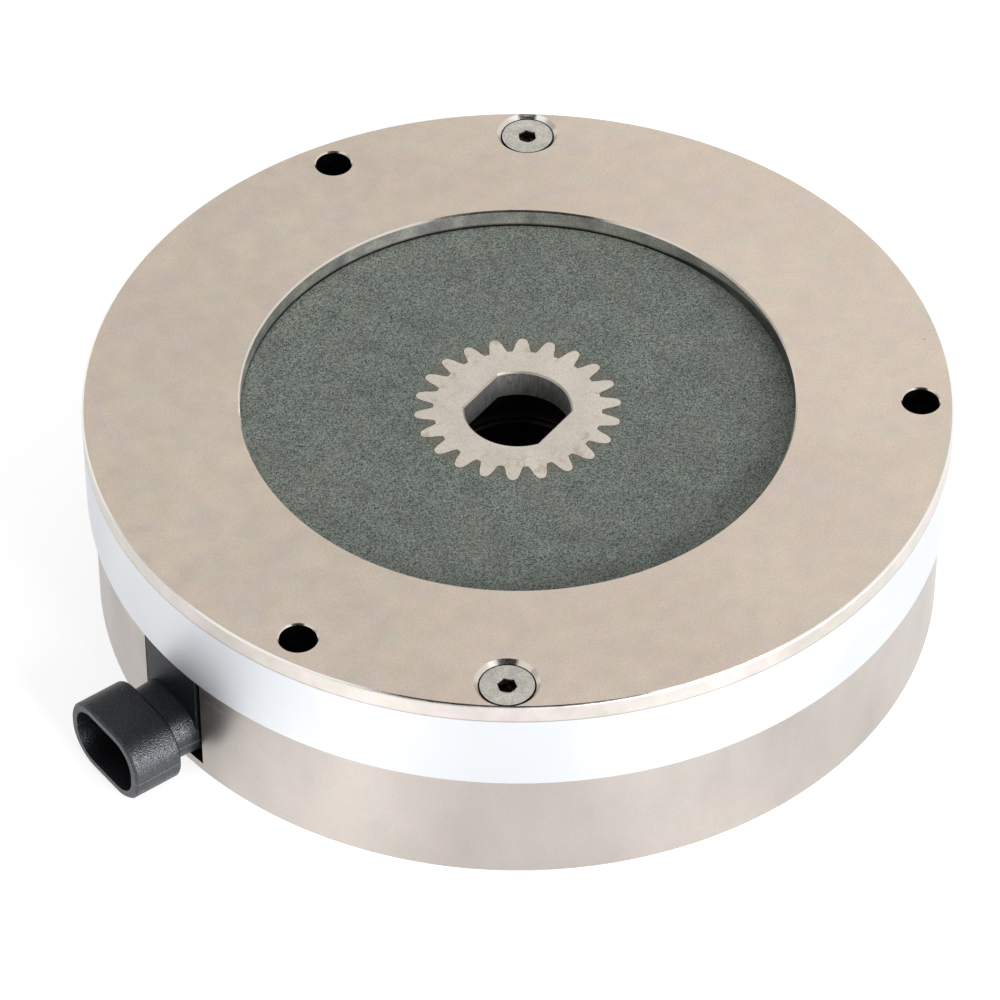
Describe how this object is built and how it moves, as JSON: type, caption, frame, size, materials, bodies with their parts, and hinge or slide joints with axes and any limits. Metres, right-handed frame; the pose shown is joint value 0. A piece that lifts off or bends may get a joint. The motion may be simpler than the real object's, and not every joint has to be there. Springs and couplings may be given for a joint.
{
  "type": "electromagnetic motor brake",
  "caption": "Round spring-applied electromagnetic motor brake with an open friction disc, toothed hub with a double-D bore, screwed end plate and side connector.",
  "frame": {"origin": "centre of the mounting hole circle on the end plate's outer face, on the shaft axis", "axes": "+Z along the shaft axis, out of the brake through the window; -X through the connector, square to its mouth; +Y completes the right-handed set"},
  "size_m": [0.163, 0.15, 0.0408],
  "materials": {
    "nickel_plated_steel": "satin nickel plate over ground steel",
    "bright_aluminium": "fine turned, nearly polished",
    "turned_steel": "satin nickel plate over turned steel",
    "friction_compound": "speckled grey-green moulded compound, matt",
    "sintered_steel": "fine ground, satin",
    "armature_steel": "ground and phosphated",
    "bobbin_plastic": "moulded glass-filled nylon",
    "copper_winding": "enamelled copper wire",
    "casting_resin": "cast epoxy",
    "spring_steel": "oiled spring wire",
    "screw_steel": "zinc plated",
    "connector_plastic": "grained black nylon",
    "tinned_terminal": "tin plated brass",
    "red_insulation": "extruded insulation",
    "black_insulation": "extruded insulation"
  },
  "bodies": {
    "stator": {"end_plate": "nickel_plated_steel", "spacer_ring": "bright_aluminium", "magnet_body": "turned_steel", "coil_bobbin": "bobbin_plastic", "coil_winding": "copper_winding", "coil_resin": "casting_resin", "connector_housing": "connector_plastic", "connector_terminal_1": "tinned_terminal", "connector_terminal_2": "tinned_terminal", "lead_wire_1": "red_insulation", "lead_wire_2": "black_insulation", "cover_screw_1": "screw_steel", "cover_screw_2": "screw_steel", "pressure_spring_1": "spring_steel", "pressure_spring_2": "spring_steel", "pressure_spring_3": "spring_steel", "pressure_spring_4": "spring_steel", "pressure_spring_5": "spring_steel", "pressure_spring_6": "spring_steel"},
    "hub": {"spline_hub": "sintered_steel"},
    "friction_disc": {"friction_disc": "friction_compound"},
    "armature": {"armature_plate": "armature_steel"}
  },
  "joints": [
    {"name": "armature_slide", "type": "slide", "parent": "stator", "child": "armature", "axis": [0, 0, 1], "range_m": [-0.00038, 0], "stiffness_N_per_m": 40000, "springref_m": 0.002, "deforming": ["pressure_spring_1", "pressure_spring_2", "pressure_spring_3", "pressure_spring_4", "pressure_spring_5", "pressure_spring_6"]},
    {"name": "hub_spin", "type": "hinge", "parent": "stator", "child": "hub", "pos_m": [0, 0, -0.0065], "axis": [0, 0, 1], "continuous": true},
    {"name": "disc_slide", "type": "slide", "parent": "hub", "child": "friction_disc", "axis": [0, 0, 1], "range_m": [-0.00019, 0]}
  ],
  "couplings": [
    {"joint": "disc_slide", "follows": "armature_slide", "ratio": 0.5}
  ]
}
